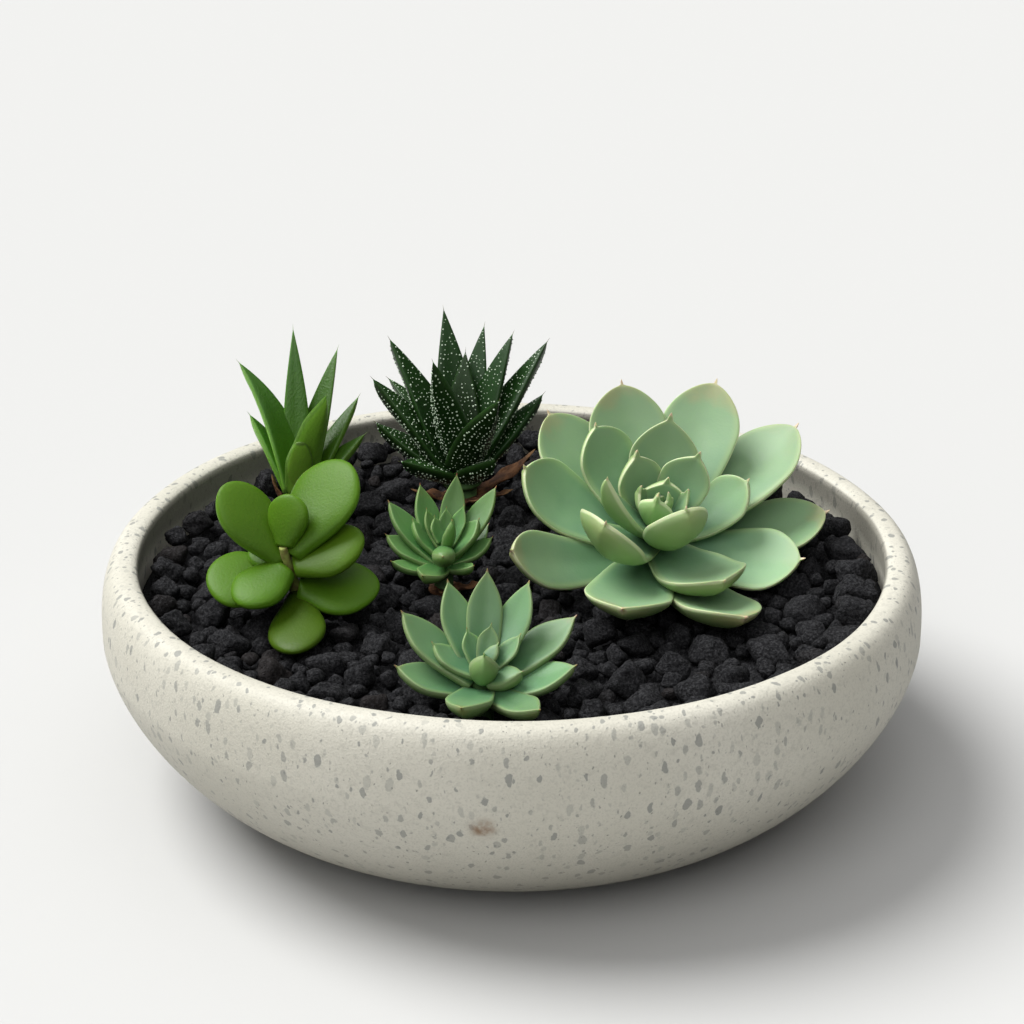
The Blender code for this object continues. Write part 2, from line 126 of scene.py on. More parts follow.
# One leaf: directions in degrees in its plant's own leaning frame, sizes in metres.
# Azimuth 0 is the right, 90 the back. Pitch is that of the chord from root to tip. Rise is how
# far up the stem the leaf is rooted, roll how far it turns about its midrib, and curl how far
# it bends upwards. A leaf unlike the others of its plant has its own form.
Leaf = namedtuple("Leaf", "azimuth pitch length width rise roll curl form", defaults=(0, None, None))

# How a plant's leaves are formed: the neck's width as a share of the leaf's, how far along it is
# widest, how blunt its tip is, its thickness and the share of that above the margins, its cup
# and its curl in degrees. Then how crisp the margin is, the length and width of the fine point,
# how keeled the underside is, how deep the channel along the upper face is, the height of the
# waves along the margin, how far the last part turns up, as a share of the length, and the most
# that the leaf may be as thick as, as a share of its width.
Form = namedtuple(
    "Form",
    "neck widest tip thickness upper cup curl crisp point_length point_width keel channel wave lift stout",
    defaults=(0.0, 0.0, 0.0, 0.0, 0.00015, 0.0, 0.45))

# How one leaf differs from its neighbours: twist in radians, sway sideways in parts of its
# length, one margin wider than the other, where its waves start, and its tone from 0 to 1.
Habit = namedtuple("Habit", "twist sway uneven phase tone")

# A leaf skin: its colours, how rough it is, how wide its margin bands are in millimetres, how
# much the rim shows, where along the leaf the tip colour starts, how shiny the skin is, its
# bumps, and how much painted shade darkens the oldest, lowest leaves, shaded by those above.
Skin = namedtuple(
    "Skin",
    "face deep under band rim tip point roughness band_width rim_width rim_share tip_start"
    " shine pebbling aging",
    defaults=(0.5, 0.25, 0.0))

Plant = namedtuple("Plant", "name place lean stem core form leaves")
Dry = namedtuple("Dry", "name plant leaves")


def leaves_mm(*rows):
    """A plant's leaves, each from a row of what a leaf has, with its sizes in millimetres."""
    leaves = [Leaf(*row) for row in rows]
    return [leaf._replace(length=leaf.length / 1000, width=leaf.width / 1000, rise=leaf.rise / 1000)
            for leaf in leaves]


BROAD = Form(
    neck=0.42, widest=0.71, tip=0.60, thickness=0.0076, upper=0.30, cup=0.22, curl=24, crisp=0.90,
    point_length=0.0033, point_width=0.0024, keel=0.15, channel=0.0004, wave=0.00035, lift=0.08)
HEART = BROAD._replace(
    neck=0.46, widest=0.62, tip=0.74, thickness=0.0060, curl=30, point_length=0.0048,
    point_width=0.0046, keel=0.20, channel=0.0003, wave=0.00020, lift=0.05, stout=0.42)
POINTED = BROAD._replace(
    neck=0.66, widest=0.60, tip=0.86, thickness=0.0062, upper=0.25, cup=0.20, curl=20, crisp=0.86,
    point_length=0.0022, point_width=0.0016, channel=0.0003, wave=0.00015, lift=0.05, stout=0.52)
SLENDER = POINTED._replace(
    widest=0.58, tip=0.90, thickness=0.0050, crisp=0.88, point_length=0.0018,
    point_width=0.0010, keel=0.20, channel=0.0002)
BUD = Form(
    neck=0.75, widest=0.42, tip=0.78, thickness=0.0100, upper=0.30, cup=0.12, curl=30, crisp=0.92,
    point_length=0.0018, point_width=0.0012, keel=0.10, wave=0.00010, stout=0.85)
ROUNDED = Form(
    neck=0.80, widest=0.50, tip=0.46, thickness=0.0130, upper=0.45, cup=0.05, curl=30, crisp=0.95,
    point_length=0.0010, point_width=0.0006, wave=0.0, stout=1.50)
THORNY = Form(
    neck=0.92, widest=0.26, tip=0.98, thickness=0.0066, upper=0.25, cup=0.14, curl=-14, crisp=1.0,
    point_length=0.0030, point_width=0.0003, keel=0.40, channel=0.0002, wave=0.00010, stout=0.50)
CRINKLED = THORNY._replace(
    neck=0.80, widest=0.40, tip=0.94, thickness=0.0060, upper=0.30, keel=0.15, wave=0.00060,
    stout=0.45)
BLUNT = Form(
    neck=0.80, widest=0.55, tip=0.42, thickness=0.0050, upper=0.40, cup=0.05, curl=6, crisp=0.95,
    wave=0.00010, stout=0.55)
OVAL = Form(
    neck=0.50, widest=0.54, tip=0.50, thickness=0.0084, upper=0.48, cup=0.04, curl=12, crisp=0.85)
PADDLE = OVAL._replace(neck=0.34, widest=0.64, lift=0.02)
SPOON = PADDLE._replace(neck=0.26, widest=0.63)
WITHERED = Form(
    neck=0.80, widest=0.35, tip=0.95, thickness=0.0016, upper=0.50, cup=0.20, curl=40, crisp=1.0,
    channel=0.0002, wave=0.00110)

LARGE_ECHEVERIA = Plant(
    "large_echeveria", place=(0.050, 0.007, 0.076), lean=(11, -27), stem=0.008, core=(0.010, 0.022),
    form=BROAD, leaves=leaves_mm(
        (203, 17, 68, 23, 2, -19, 30), (253, 26, 70, 31, 2, 16, 8), (294, 26, 71, 30, 2, -15, 15),
        (15, 9, 72, 30, 1, -14, 9), (130, 12, 68, 32, 2, 9, 10), (104, 22, 67, 30, 4, -5, 6),
        (70, 25, 73, 30, 2, -12, -2), (40, 14, 76, 32, 9, -22, 18), (348, 11, 58, 29, 7.5, 4, 25),
        (165, 18, 61, 27, 6, -8, 46), (132, 31, 51, 25, 9, -3, 40), (88, 41, 49, 26, 9, 2, 34, HEART),
        (24, 31, 45, 20, 9, 0, 51), (296, 27, 52, 32, 9, -2, 30), (226, 40, 54, 29, 9, 6, 44),
        (129, 52, 34, 19, 13, -7, 38, HEART), (55, 56, 36, 18.5, 13, 11, 36, HEART),
        (282, 59, 41, 24, 13, 11, 51), (202, 50, 47, 16, 13, 4, 30, POINTED),
        (90, 69, 21, 15, 16, -3, 30, HEART), (237, 66, 28, 12, 16, 19, 36, HEART),
        (171, 59, 22, 8, 16, -12, 44, HEART), (16, 66, 21, 6, 16, 8, 41, HEART),
        (149, 71, 12, 6, 20, -7, 32, HEART), (326, 89, 14, 5, 20, -6, 39, HEART),
    ))

FRONT_ROSETTE = Plant(
    "front_rosette", place=(-0.010, -0.099, 0.076), lean=(3, -13), stem=0.004, core=(0.0045, 0.012),
    form=POINTED, leaves=leaves_mm(
        (177, 13, 31, 14, 1, 2, 22), (358, 21, 34, 15, 1, -1, 17), (256, 26, 33, 15, 1, 10, 4),
        (307, 21, 34, 12, 1, -1, 14), (90, 46, 39, 12, 3, 4, 16), (152, 27, 37, 14, 3, 1, 22),
        (33, 19, 40, 15, 3, -5, 13), (119, 40, 37, 12, 3, 3, 19), (59, 39, 38, 12, 3, -5, 13),
        (162, 24, 21, 9, 6, -3, 30), (123, 46, 17, 7, 6, 1, 22), (78, 50, 17, 7, 7, 1, 21),
        (35, 35, 19, 7, 6, -1, 25), (342, 29, 16, 9.5, 4, 11, 31, BUD),
        (268, 70, 15, 9.8, 5, 0, 26, BUD), (45, 40, 9, 5, 10, 1, 22, BUD),
    ))

CENTRE_ROSETTE = Plant(
    "centre_rosette", place=(-0.025, -0.005, 0.077), lean=(4, -8), stem=0.0035, core=(0.004, 0.010),
    form=SLENDER, leaves=leaves_mm(
        (82, 55, 35, 9, 2, -1, 17), (124, 50, 32, 10, 2, 4, 13), (150, 34, 32, 11, 2, 1, 17),
        (167, 19, 25, 11, 2, -2, 23), (199, 13, 22, 8, 1, -2, 25), (44, 43, 35, 10, 2, -2, 13),
        (45, 21, 25, 10, 1, 0, 20), (21, 23, 21, 9, 2, -2, 23), (314, 25, 18, 7, 1, 7, 20),
        (244, 14, 19, 11, 1, 3, 12), (23, 47, 20, 10, 4, 0, 17), (157, 40, 19, 8, 4, 1, 24),
        (136, 50, 18, 6, 6, 2, 20), (93, 59, 17, 6, 6, 1, 20), (57, 52, 19, 6, 6, -1, 20),
        (267, 27, 18.5, 8.5, 5.8, 2, 20, ROUNDED), (301, 77, 15, 5, 7, 1, 21, BUD),
        (129, 52, 13, 6, 7, 1, 21),
    ))

DOTTED_HAWORTHIA = Plant(
    "dotted_haworthia", place=(-0.020, 0.0806, 0.076), lean=(0, -5), stem=0.006, core=(0.0095, 0.010),
    form=THORNY, leaves=leaves_mm(
        (103, 61, 69, 16.5, 3, 1, -17), (145, 56, 64, 17.6, 2, 1, -14), (168, 49, 56, 18.7, 1, -2, -12),
        (131, 30, 56, 14.3, 2, 11, -37), (224, 75, 58, 18.7, 3, 11, -8), (85, 66, 49, 15.4, 5, 0, -13),
        (74, 57, 62, 14.3, 3, -1, -11), (47, 60, 62, 15.4, 2, -2, -16), (31, 51, 65, 16.5, 2, 0, -6),
        (26, 39, 48, 15.4, 1, 1, 4), (304, 58, 53, 17.6, 2, -13, -16), (171, 32, 42, 15.4, 1, 2, 5),
        (210, 27, 32, 15.4, 0.5, 0, -14), (309, 36, 29, 15.4, 0.5, 0, -14),
    ))

SPIKY_ALOE = Plant(
    "spiky_aloe", place=(-0.083, 0.0586, 0.076), lean=(0, 0), stem=0.005, core=(0.0070, 0.010),
    form=THORNY, leaves=leaves_mm(
        (95, 67, 68, 11, 3, 1, -16), (142, 59, 62, 15, 2, 1, -52), (60, 60, 62, 12, 3, 2, -15),
        (150, 55, 41, 12, 1, 1, -28), (308, 66, 56, 17, 2, 12, -22, CRINKLED),
        (48, 44, 49, 11, 2, -3, -5), (34, 34, 39, 12, 1, 3, -17), (280, 63, 34, 10, 1, -1, -4, BLUNT),
    ))

JADE_PLANT = Plant(
    "jade_plant", place=(-0.076, -0.030, 0.0760), lean=(-10, -15), stem=0.004, core=(0.0036, 0.026),
    form=PADDLE, leaves=leaves_mm(
        (138, 46, 37, 21, 17, 0, 11), (47, 28, 41, 30, 20, 0, 6), (66, 53, 21, 16, 23, 2, 15),
        (9, 11, 29, 22, 17, 14, 18, OVAL), (357, -11, 31, 25, 9, 12, 21, OVAL),
        (176, 12, 31, 26, 9, -8, 15), (226, 0, 24.5, 20.5, 16.5, -10, 14, OVAL),
        (275, 3, 36.5, 20.5, 4, -1, 11, SPOON), (134, 7, 20, 13, 14),
    ))

PLANTS = (LARGE_ECHEVERIA, FRONT_ROSETTE, CENTRE_ROSETTE, DOTTED_HAWORTHIA, SPIKY_ALOE, JADE_PLANT)

DRY_LEAVES = (
    Dry("haworthia_dry_leaves", DOTTED_HAWORTHIA, leaves_mm(
        (22, 26, 36, 8, 0), (195, 14, 22, 9, 0), (245, 14, 17, 10, 0), (290, 14, 18, 10, 0),
        (345, 12, 22, 8, 0),
    )),
    Dry("aloe_dry_leaf", SPIKY_ALOE, leaves_mm((185, 62, 22, 6, 0))),
    Dry("centre_rosette_dry_leaf", CENTRE_ROSETTE, leaves_mm(
        (335, 20, 17, 6, 0), (265, 12, 9, 7, 0),
    )),
)


def grid_quads(rows, columns, start=0):
    """Corner numbers of the quads of a grid whose columns close into a ring, row by row."""
    row = np.arange(rows - 1)[:, None] * columns
    here = np.arange(columns)[None, :]
    after = (here + 1) % columns
    quads = np.stack([row + here, row + after, row + columns + after, row + columns + here], -1)
    return start + quads.reshape(-1, 4)


def pole_triangles(ring_start, columns, pole, outwards):
    """Corner numbers of the triangles that close a ring of points with one point."""
    here = ring_start + np.arange(columns)
    after = ring_start + (np.arange(columns) + 1) % columns
    middle = np.full(columns, pole)
    return np.stack([here, after, middle] if outwards else [after, here, middle], -1)


def copied_faces(parts, size, count):
    """The faces of count copies of a shape that has so many points, from the faces of one."""
    first = size * np.arange(count)[:, None, None]
    return [(first + part[None]).reshape(-1, part.shape[1]) for part in parts]


def add_piece(name, points, faces, material, attributes=None):
    """A smooth mesh object from arrays: faces is a list of arrays with 3 or 4 corners a row."""
    corners = np.concatenate([f.ravel() for f in faces]).astype(np.int32)
    sizes = np.concatenate([np.full(len(f), f.shape[1]) for f in faces])
    starts = np.concatenate([[0], np.cumsum(sizes)[:-1]]).astype(np.int32)
    mesh = bpy.data.meshes.new(name)
    mesh.vertices.add(len(points))
    mesh.vertices.foreach_set("co", np.ascontiguousarray(points, dtype=np.float32).ravel())
    mesh.loops.add(len(corners))
    mesh.loops.foreach_set("vertex_index", corners)
    mesh.polygons.add(len(sizes))
    mesh.polygons.foreach_set("loop_start", starts)
    mesh.update(calc_edges=True)
    mesh.validate()
    for key, values in (attributes or {}).items():
        layer = mesh.attributes.new(key, "FLOAT", "POINT")
        layer.data.foreach_set("value", np.ascontiguousarray(values, dtype=np.float32).ravel())
    mesh.shade_smooth()
    mesh.materials.append(material)
    obj = bpy.data.objects.new(name, mesh)
    bpy.context.scene.collection.objects.link(obj)
    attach(obj, "root")
    return obj


def linear(hex_colour):
    """The linear RGBA value of an sRGB hex colour."""
    channels = np.array([int(hex_colour[i:i + 2], 16) / 255 for i in (0, 2, 4)])
    rgb = np.where(channels <= 0.04045, channels / 12.92, ((channels + 0.055) / 1.055) ** 2.4)
    return (*rgb.tolist(), 1.0)


def add(tree, kind, inputs=None, **settings):
    """Adds a node with its settings and links, and gives its outputs.

    An input is a value, a hex colour, or the socket that it is linked from.
    """
    made = tree.nodes.new("ShaderNode" + kind)
    for key, value in settings.items():
        setattr(made, key, value)
    for key, value in (inputs or {}).items():
        if isinstance(value, bpy.types.NodeSocket):
            tree.links.new(value, made.inputs[key])
        else:
            made.inputs[key].default_value = linear(value) if isinstance(value, str) else value
    return made.outputs


def strength(tree, *factors):
    """How strong something is at a point: the product of its factors.

    A factor is a number, a socket, or a tuple: a socket, the two ends that it is eased between,
    and what it becomes at each of them, which is 0 and 1 unless given.
    """
    product = None
    for factor in factors:
        if isinstance(factor, tuple):
            eased = add(tree, "MapRange", dict(enumerate(factor)), interpolation_type="SMOOTHSTEP")
            factor = eased["Result"]
        if product is None:
            product = factor
        else:
            product = add(tree, "Math", {0: product, 1: factor}, operation="MULTIPLY")[0]
    return product


def coated(tree, colour, *coats):
    """A colour under thin coats of others, each with the factors of its strength after it."""
    for coat, *factors in coats:
        share = strength(tree, *factors)
        colour = add(tree, "Mix", {0: share, 6: colour, 7: coat}, data_type="RGBA")[2]
    return colour


def finish(tree, shader, colour, height, bump_strength, depth):
    """Gives a material its colour, and bumps that follow a height and are depth metres deep."""
    bump = add(tree, "Bump", {"Height": height, "Strength": bump_strength, "Distance": depth})
    tree.links.new(colour, shader.inputs["Base Color"])
    tree.links.new(bump["Normal"], shader.inputs["Normal"])


def new_material(name, roughness, ior):
    """A Principled material, its node tree and shader, and where a point lies on its piece.

    A pattern's scale is 1000 divided by the size of its marks in millimetres.
    """
    mat = bpy.data.materials.new(name)
    mat.use_nodes = True
    tree = mat.node_tree
    shader = tree.nodes["Principled BSDF"]
    shader.inputs["Roughness"].default_value = roughness
    shader.inputs["IOR"].default_value = ior
    shader.inputs["Metallic"].default_value = 0.0
    return mat, tree, shader, add(tree, "TexCoord")["Object"]


def leaning_frame(lean):
    """A plant's own right, back and up directions, for its lean in degrees along X and Y."""
    up = np.array([math.sin(math.radians(lean[0])), math.sin(math.radians(lean[1])), 1.0])
    up /= np.linalg.norm(up)
    right = np.array([1.0, 0.0, 0.0]) - up * up[0]
    right /= np.linalg.norm(right)
    return right, np.cross(up, right), up


def half_widths(form, leaf, along):
    """A leaf's half-width: it swells from the neck, rounds off as a cosine, and ends in a fine point."""
    swell = np.sin(0.5 * math.pi * np.clip(along / form.widest, 0, 1)) ** 1.5
    blade_end = 1 - 0.7 * form.point_length / leaf.length
    taper = np.clip((along - form.widest) / (blade_end - form.widest), 0, 1)
    blade = np.where(along < form.widest, form.neck + (1 - form.neck) * swell,
                     np.cos(0.5 * math.pi * taper) ** form.tip)
    left = (1 - along) * leaf.length / max(1.6 * form.point_length, 1e-6)
    point = 0.5 * form.point_width * np.clip(left, 0, 1) ** 0.7
    return np.hypot(0.5 * leaf.width * blade, point)


def leaf_skin(plant, form, leaf, rise, habit, along, angle):
    """Points of a leaf's skin for arrays of places along it and angles round it.

    The midrib is an arc that bends by the curl. Across it lies a lens: the half-width times
    cos(angle) sideways, and thickness times sin(angle) to a power out of the face, with the
    margins raised by the cup, a channel above, a keel below and small waves at the margins.
    The leaf also rolls about its midrib with the square root of the way along it.
    """
    right, back, up = leaning_frame(plant.lean)
    azimuth = math.radians(leaf.azimuth)
    outward = right * math.cos(azimuth) + back * math.sin(azimuth)
    across = back * math.cos(azimuth) - right * math.sin(azimuth)
    bend = math.radians(form.curl if leaf.curl is None else leaf.curl)
    first_slope = math.radians(leaf.pitch) - bend / 2
    chord = first_slope + bend * along / 2
    slope = first_slope + bend * along
    reach = leaf.length * along * np.sinc(bend * along / (2 * math.pi))
    root = np.array(plant.place) + up * (leaf.rise + rise)
    middle = root + (outward * np.cos(chord)[..., None] + up * np.sin(chord)[..., None]) * reach[..., None]
    face = up * np.cos(slope)[..., None] - outward * np.sin(slope)[..., None]
    turn = (math.radians(leaf.roll) * np.sqrt(along) + habit.twist * along ** 2)[..., None]
    side = across * np.cos(turn) + face * np.sin(turn)
    face = face * np.cos(turn) - across * np.sin(turn)

    width = half_widths(form, leaf, along)
    full = min(form.thickness, form.stout * leaf.width) * np.sqrt(np.clip(1 - along ** 4, 0, 1))
    narrow = 2.2 * width
    thickness = full * narrow / np.maximum(np.hypot(full, narrow), 1e-9)
    across_part = np.cos(angle)
    out_part = np.sin(angle)
    above = np.clip(out_part, 0, 1)
    below = np.clip(-out_part, 0, 1)
    share = np.where(out_part > 0, form.upper, 1 - form.upper)
    height = form.cup * width * across_part ** 2
    height += thickness * share * np.sign(out_part) * np.abs(out_part) ** form.crisp
    keel = np.exp(-(across_part / KEEL_BREADTH) ** 2)
    height -= form.keel * thickness * keel * along * below
    channel = np.exp(-(across_part / CHANNEL_BREADTH) ** 2)
    height -= form.channel * channel * above * np.sin(math.pi * along)
    waves = np.sin(2 * math.pi * (WAVES_ALONG * along + habit.phase) + 2 * across_part)
    height += form.wave * np.abs(across_part) ** 3 * waves * np.sin(math.pi * np.clip(along, 0, 1))
    height += form.lift * leaf.length * np.clip((along - LIFT_START) / (1 - LIFT_START), 0, 1) ** 2
    sideways = width * across_part * (1 + habit.uneven * across_part)
    sideways += habit.sway * leaf.length * along * np.sin(math.pi * along)
    return middle + side * sideways[..., None] + face * height[..., None]


def grow_leaves(plant, form, leaves, habits, stations, around):
    """Points, faces and attributes of a plant's leaves, each a grid of rings closed at both ends."""
    points, faces = [], []
    marks = {"along": [], "edge": [], "upper": [], "tone": [], "age": []}
    start = 0
    for number, (leaf, habit) in enumerate(zip(leaves, habits)):
        shape = leaf.form or form
        rise = number * ROOT_STEP
        first = ROOT_REACH * plant.core[0] / leaf.length
        row = first + (LAST_RING - first) * np.sin(0.5 * math.pi * np.linspace(0, 1, stations)) ** 0.9
        turn = 2 * math.pi * np.arange(around) / around
        along, angle = np.meshgrid(row, turn, indexing="ij")
        skin = leaf_skin(plant, shape, leaf, rise, habit, along, angle).reshape(-1, 3)
        tip = leaf_skin(plant, shape, leaf, rise, habit, np.array([1.0]), np.array([0.0]))
        root = skin[:around].mean(axis=0)
        points += [skin, root[None], tip]
        rim = half_widths(shape, leaf, along) * (1 - np.abs(np.cos(angle))) * 1000
        marks["along"] += [along.ravel(), [first, 1.0]]
        marks["edge"] += [rim.ravel(), [1.0, 0.0]]
        marks["upper"] += [np.sin(angle).ravel(), [0.0, 0.0]]
        marks["tone"] += [np.full(len(skin) + 2, habit.tone)]
        marks["age"] += [np.full(len(skin) + 2, 1 - leaf.rise / plant.core[1])]
        faces.append(grid_quads(stations, around, start))
        last = start + (stations - 1) * around
        faces.append(pole_triangles(start, around, start + len(skin), False))
        faces.append(pole_triangles(last, around, start + len(skin) + 1, True))
        start += len(skin) + 2
    return np.concatenate(points), faces, {key: np.concatenate(value) for key, value in marks.items()}


def leaf_habits(seed, count, unrest=1.0):
    """Small seeded differences between the leaves of one plant."""
    rng = np.random.default_rng(seed)
    return [
        Habit(
            twist=unrest * rng.normal(0, 0.05),
            sway=unrest * rng.normal(0, 0.006),
            uneven=unrest * rng.uniform(-0.05, 0.05),
            phase=rng.random(),
            tone=rng.random(),
        )
        for _ in range(count)
    ]


def turned_surface(profile, around, place, axis, start=0):
    """A profile of (radius, height) carried round an axis, closed at both ends with a pole."""
    radius, height = np.array(profile, dtype=float).T
    turn = 2 * math.pi * np.arange(around) / around
    side = np.array([1.0, 0.0, 0.0]) - axis * axis[0]
    side /= np.linalg.norm(side)
    back = np.cross(axis, side)
    circle = side * np.cos(turn)[:, None] + back * np.sin(turn)[:, None]
    rings = np.array(place) + radius[:, None, None] * circle + height[:, None, None] * axis
    poles = np.array(place) + height[[0, -1], None] * axis
    points = np.concatenate([rings.reshape(-1, 3), poles])
    count = len(radius) * around
    faces = [
        grid_quads(len(radius), around, start),
        pole_triangles(start, around, start + count, False),
        pole_triangles(start + count - around, around, start + count + 1, True),
    ]
    return points, faces


def leaf_material(name, skin):
    """A living leaf: a waxy skin whose colour changes towards its margins and its tip.

    The wax makes it satin, and light that sinks in a millimetre or two softens its shadows.
    """
    mat, tree, shader, place = new_material(name, skin.roughness, 1.45)
    along, edge, upper, tone, age = (
        add(tree, "Attribute", attribute_name=key)["Fac"]
        for key in ("along", "edge", "upper", "tone", "age"))
    # Mottles of 11 mm make the bounds of the colours ragged
    mottle = add(tree, "TexNoise", {"Vector": place, "Scale": 1000 / 11.11, "Detail": 5.0})["Fac"]
    ragged = add(tree, "Math", {0: mottle, 1: 0.5, 2: -0.25}, operation="MULTIPLY_ADD")[0]
    outward = add(tree, "Math", {0: ragged, 1: 0.8, 2: along}, operation="MULTIPLY_ADD")[0]
    margin = add(tree, "Math", {0: edge, 1: ragged}, operation="ADD")[0]
    colour = coated(
        tree, skin.deep,
        (skin.face, (outward, 0.25, 0.85)),
        # The underside's own colour; in some skins it is also lightened as painted light, for undersides
        # that face away from the lamps
        (skin.under, (upper, 0.1, -0.25)),
        (skin.band, (margin, 0.2 * skin.band_width, skin.band_width, 0.6, 0.0)),
        # The oldest leaves, low on the stem, have the brownest tips
        (skin.tip, (age, 0.6, 0.9, 0.15, 0.5), (outward, skin.tip_start, 1.0)),
        (skin.rim, (edge, 0.2 * skin.rim_width, skin.rim_width, skin.rim_share, 0.0)),
        (skin.point, (along, 0.955, 0.985)),
    )
    hue = strength(tree, (tone, 0, 1, 0.492, 0.506))
    # Leaves differ at random in lightness, and painted shade darkens the oldest, lowest ones, which the
    # leaves above them shade
    light = strength(tree, (tone, 0, 1, 0.92, 1.08), (age, 0.70, 0.84, 1.0, 1 - skin.aging))
    shade = add(tree, "HueSaturation", {"Color": colour, "Hue": hue, "Value": light})[0]
    # The skin's cells are finer than 0.9 mm, and are drawn that coarse so that they show
    cells = add(tree, "TexNoise", {"Vector": place, "Scale": 1000 / 0.909})["Fac"]
    finish(tree, shader, shade, cells, skin.pebbling, 0.0002)
    shader.inputs["Specular IOR Level"].default_value = skin.shine
    shader.inputs["Subsurface Weight"].default_value = 0.22
    shader.inputs["Subsurface Radius"].default_value = (0.5, 1.0, 0.25)
    shader.inputs["Subsurface Scale"].default_value = 0.0025
    return mat


def stem_material(name, young, old):
    """A succulent's stem: matt, and corky in patches of 3 mm where leaves have dropped."""
    mat, tree, shader, place = new_material(name, 0.7, 1.45)
    cork = add(tree, "TexNoise", {"Vector": place, "Scale": 1000 / 2.857, "Detail": 3.0})["Fac"]
    finish(tree, shader, coated(tree, young, (old, (cork, 0.35, 0.65))), cork, 0.5, 0.0004)
    return mat


def dry_leaf_material():
    """A withered leaf: papery, matt and wrinkled, from red-brown to a straw-coloured tip."""
    mat, tree, shader, place = new_material("withered_leaf", 0.85, 1.4)
    along = add(tree, "Attribute", attribute_name="along")["Fac"]
    patches = add(tree, "TexNoise", {"Vector": place, "Scale": 1000 / 3.846, "Detail": 5.0})["Fac"]
    wrinkles = add(tree, "TexNoise", {"Vector": place, "Scale": 1000 / 1.25, "Detail": 3.0})["Fac"]
    colour = coated(
        tree, "42291A",
        ("704C30", (patches, 0.35, 0.65)),
        ("8C6C48", (along, 0.75, 1.0, 0.0, 0.7)),
    )
    finish(tree, shader, colour, wrinkles, 0.7, 0.0005)
    return mat


def wart_material():
    """The hard white warts of a haworthia: chalky and matt, in tones that change over 2 mm."""
    mat, tree, shader, place = new_material("chalky_wart", 0.6, 1.5)
    chalk = add(tree, "TexNoise", {"Vector": place, "Scale": 1000 / 2})["Fac"]
    tree.links.new(coated(tree, "94AE8C", ("DCE8D4", chalk)), shader.inputs["Base Color"])
    return mat


def lava_material():
    """Lava gravel: crushed and tumbled basalt foam, matt black with fine open pores."""
    mat, tree, shader, place = new_material("tumbled_lava", 0.9, 1.5)
    tone = add(tree, "Attribute", attribute_name="tone")["Fac"]
    # Grit of 1 mm, lumps of 2.6 mm and pores of 1.25 mm
    grit = add(tree, "TexNoise",
               {"Vector": place, "Scale": 1000 / 1, "Detail": 5.0, "Roughness": 0.7})["Fac"]
    lumps = add(tree, "TexNoise", {"Vector": place, "Scale": 1000 / 2.632, "Detail": 4.0})["Fac"]
    pores = add(tree, "TexVoronoi", {"Vector": place, "Scale": 1000 / 1.25})["Distance"]
    colour = coated(
        tree, "18181A",
        ("3E3E40", (grit, 0.40, 0.70)),
        ("101010", (pores, 0.05, 0.30, 0.45, 0.0)),
        ("2C2420", (tone, 0.88, 1.0, 0.0, 0.35)),
    )
    rough = add(tree, "Math", {0: lumps, 1: 1.5, 2: grit}, operation="MULTIPLY_ADD")[0]
    open_pores = strength(tree, (pores, 0.0, 0.35, 0.0, 0.5))
    height = add(tree, "Math", {0: rough, 1: open_pores}, operation="ADD")[0]
    finish(tree, shader, colour, height, 1.0, 0.0010)
    # The open pores swallow most of the shine
    shader.inputs["Specular IOR Level"].default_value = 0.12
    return mat


def soil_material():
    """Potting soil: dark, matt, in crumbs of 2 mm."""
    mat, tree, shader, place = new_material("potting_mix", 0.95, 1.4)
    crumbs = add(tree, "TexNoise", {"Vector": place, "Scale": 1000 / 2, "Detail": 6.0})["Fac"]
    colour = coated(tree, "241A12", ("4A3A2A", (crumbs, 0.35, 0.7)))
    finish(tree, shader, colour, crumbs, 1.0, 0.001)
    return mat


def chips(tree, place, cell, share, smallest, largest, softness):
    """How much of a chip shows at a point; the sizes are in millimetres.

    Space is split into cells, some of which hold one chip: all within its own size of the
    cell's middle, with a soft edge.
    """
    cells = add(tree, "TexVoronoi", {"Vector": place, "Scale": 1000 / cell, "Randomness": 0.9})
    split = add(tree, "SeparateColor", {"Color": cells["Color"]})
    size = strength(tree, (split["Red"], 0.0, 1.0, smallest / cell, largest / cell))
    inside = add(tree, "Math", {0: size, 1: cells["Distance"]}, operation="SUBTRACT")[0]
    present = add(tree, "Math", {0: split["Green"], 1: share}, operation="LESS_THAN")[0]
    tone = (split["Blue"], 0.0, 1.0, 0.35, 1.0)
    return strength(tree, (inside, 0.0, softness / cell), present, tone)


